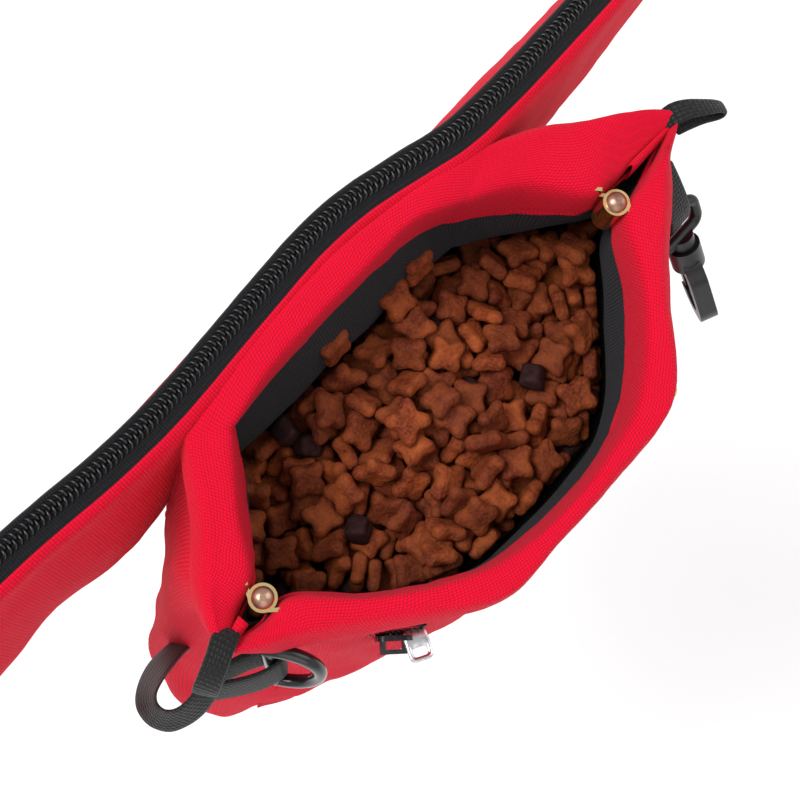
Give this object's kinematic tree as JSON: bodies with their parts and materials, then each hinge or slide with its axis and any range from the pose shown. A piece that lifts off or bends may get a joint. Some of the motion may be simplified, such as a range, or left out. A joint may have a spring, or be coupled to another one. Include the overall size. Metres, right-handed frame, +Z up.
{
  "type": "treat pouch",
  "caption": "Belt-worn treat pouch: a slim zipped waist pack with a fabric pouch on its front, whose hinged frame holds the mouth open in a hexagon.",
  "frame": {"origin": "centre of the flat face of the waist pack that lies against the wearer", "axes": "+X along the belt to the side with the snap hook, +Y out of the back face towards the wearer, +Z up"},
  "size_m": [0.4716, 0.2225, 0.1513],
  "materials": {
    "red_fabric": "woven polyester, slight sheen",
    "black_lining": "coated woven nylon",
    "zip_tape": "woven tape",
    "zip_coil": "nylon coil",
    "webbing": "ribbed webbing",
    "black_plastic": "moulded acetal",
    "frame_brass": "plated spring strip",
    "zip_metal": "plated die casting",
    "kibble": "dry baked biscuit"
  },
  "bodies": {
    "pack": {"pack_back_panel": "red_fabric", "pack_front_panel": "red_fabric", "waist_zip_tape_front": "zip_tape", "waist_zip_tape_back": "zip_tape", "waist_zip_coil": "zip_coil", "waist_zip_stops": "zip_metal", "left_wing": "red_fabric", "right_wing": "red_fabric", "left_belt": "webbing", "right_belt": "webbing", "buckle_socket": "black_plastic", "buckle_plug": "black_plastic", "frame_back": "frame_brass", "rim_back": "red_fabric", "back_corner_pins": "frame_brass", "pouch_back_panel": "red_fabric", "pouch_front_panel": "red_fabric", "left_gusset": "red_fabric", "right_gusset": "red_fabric", "pouch_bottom": "red_fabric", "pouch_lining": "black_lining", "kibble": "kibble"},
    "left_back_segment": {"frame_left_back": "frame_brass", "rim_left_back": "red_fabric", "left_end_pin": "frame_brass"},
    "left_front_segment": {"frame_left_front": "frame_brass", "rim_left_front": "red_fabric", "pocket_left": "red_fabric", "pocket_zip_tapes": "zip_tape", "pocket_zip_coil": "zip_coil"},
    "front_segment": {"frame_front": "frame_brass", "rim_front": "red_fabric", "front_corner_pins": "frame_brass", "pocket_front": "red_fabric"},
    "right_back_segment": {"frame_right_back": "frame_brass", "rim_right_back": "red_fabric", "right_end_pin": "frame_brass"},
    "right_front_segment": {"frame_right_front": "frame_brass", "rim_right_front": "red_fabric"},
    "left_ear": {"left_ear": "red_fabric", "left_pull_tab": "webbing", "left_web_loop": "webbing", "d_ring_strap": "webbing"},
    "right_ear": {"right_ear": "red_fabric", "right_pull_tab": "webbing", "hook_strap": "webbing"},
    "waist_slider": {"waist_slider": "zip_metal"},
    "waist_pull": {"waist_pull": "zip_metal"},
    "pocket_slider": {"pocket_slider": "zip_metal"},
    "pocket_pull": {"pocket_pull": "zip_metal"},
    "d_ring": {"d_ring": "black_plastic"},
    "hook_swivel": {"hook_swivel": "black_plastic"},
    "hook": {"hook_body": "black_plastic"},
    "hook_gate": {"hook_gate": "black_plastic"},
    "upper_prong": {"buckle_upper_prong": "black_plastic"},
    "lower_prong": {"buckle_lower_prong": "black_plastic"},
    "strap_adjuster": {"strap_adjuster": "black_plastic"},
    "strap_keeper": {"strap_keeper": "webbing"}
  },
  "joints": [
    {"name": "mouth_fold", "type": "hinge", "parent": "pack", "child": "left_back_segment", "pos_m": [-0.042, -0.0215, 0.027], "axis": [0, 0, -1], "range_deg": [0, 50.85], "deforming": ["pouch_front_panel", "left_gusset", "right_gusset", "pouch_lining", "kibble"]},
    {"name": "left_end_hinge", "type": "hinge", "parent": "left_back_segment", "child": "left_front_segment", "pos_m": [-0.0604, -0.053, 0.027], "axis": [0, 0, 1], "range_deg": [0, 87.29]},
    {"name": "front_left_corner", "type": "hinge", "parent": "left_front_segment", "child": "front_segment", "pos_m": [-0.0261, -0.0875, 0.027], "axis": [0, 0, -1], "range_deg": [0, 36.43]},
    {"name": "back_right_corner", "type": "hinge", "parent": "pack", "child": "right_back_segment", "pos_m": [0.0387, -0.0215, 0.027], "axis": [0, 0, 1], "range_deg": [0, 44.45]},
    {"name": "right_end_hinge", "type": "hinge", "parent": "right_back_segment", "child": "right_front_segment", "pos_m": [0.0604, -0.051, 0.027], "axis": [0, 0, -1], "range_deg": [0, 90.02]},
    {"name": "left_ear_turn", "type": "hinge", "parent": "left_back_segment", "child": "left_ear", "pos_m": [-0.0604, -0.053, 0.027], "axis": [0, 0, 1], "range_deg": [0, 50.86]},
    {"name": "right_ear_turn", "type": "hinge", "parent": "right_back_segment", "child": "right_ear", "pos_m": [0.0604, -0.051, 0.027], "axis": [0, 0, -1], "range_deg": [0, 44.45]},
    {"name": "waist_zip", "type": "slide", "parent": "pack", "child": "waist_slider", "axis": [1, 0, 0], "range_m": [0, 0.238]},
    {"name": "waist_pull_flip", "type": "hinge", "parent": "waist_slider", "child": "waist_pull", "pos_m": [-0.119, -0.008, 0.0366], "axis": [0, 1, 0], "range_deg": [-170, 0]},
    {"name": "pocket_zip", "type": "slide", "parent": "left_front_segment", "child": "pocket_slider", "axis": [-0.705, 0.7092, 0], "range_m": [-0.0085, 0.0125]},
    {"name": "pocket_pull_flip", "type": "hinge", "parent": "pocket_slider", "child": "pocket_pull", "pos_m": [-0.04661, -0.08389, -0.006], "axis": [0, 0, -1], "range_deg": [-58, 108]},
    {"name": "d_ring_swing", "type": "hinge", "parent": "left_ear", "child": "d_ring", "pos_m": [-0.0695, -0.0645, 0.0165], "axis": [0.1984, 0.3731, 0.9063], "range_deg": [-45, 35]},
    {"name": "hook_swing", "type": "hinge", "parent": "right_ear", "child": "hook_swivel", "pos_m": [0.08, -0.0635, 0.006], "axis": [1, 0, 0], "range_deg": [-45, 38]},
    {"name": "hook_spin", "type": "hinge", "parent": "hook_swivel", "child": "hook", "pos_m": [0.08, -0.0635, 0.006], "axis": [0, -0.6157, -0.788], "continuous": true},
    {"name": "hook_gate_flex", "type": "hinge", "parent": "hook", "child": "hook_gate", "pos_m": [0.08267, -0.0793, -0.02175], "axis": [0.866, -0.394, 0.3078], "range_deg": [0, 20], "stiffness_Nm_per_rad": 0.02},
    {"name": "upper_prong_squeeze", "type": "hinge", "parent": "pack", "child": "upper_prong", "pos_m": [0, 0.119, 0.0095], "axis": [0, -1, 0], "range_deg": [0, 9], "stiffness_Nm_per_rad": 0.3},
    {"name": "lower_prong_squeeze", "type": "hinge", "parent": "pack", "child": "lower_prong", "pos_m": [0, 0.119, -0.0095], "axis": [0, 1, 0], "range_deg": [0, 9], "stiffness_Nm_per_rad": 0.3},
    {"name": "adjuster_slide", "type": "slide", "parent": "pack", "child": "strap_adjuster", "axis": [1, 0, 0], "range_m": [-0.015, 0.02]},
    {"name": "keeper_slide", "type": "slide", "parent": "pack", "child": "strap_keeper", "axis": [1, 0, 0], "range_m": [-0.003, 0.04]}
  ],
  "couplings": [
    {"joint": "left_end_hinge", "follows": "mouth_fold", "ratio": 1.7163},
    {"joint": "front_left_corner", "follows": "mouth_fold", "ratio": 0.71627},
    {"joint": "back_right_corner", "follows": "mouth_fold", "ratio": 0.8739},
    {"joint": "right_end_hinge", "follows": "mouth_fold", "ratio": 1.77},
    {"joint": "left_ear_turn", "follows": "mouth_fold", "ratio": 1},
    {"joint": "right_ear_turn", "follows": "mouth_fold", "ratio": 0.8739}
  ]
}
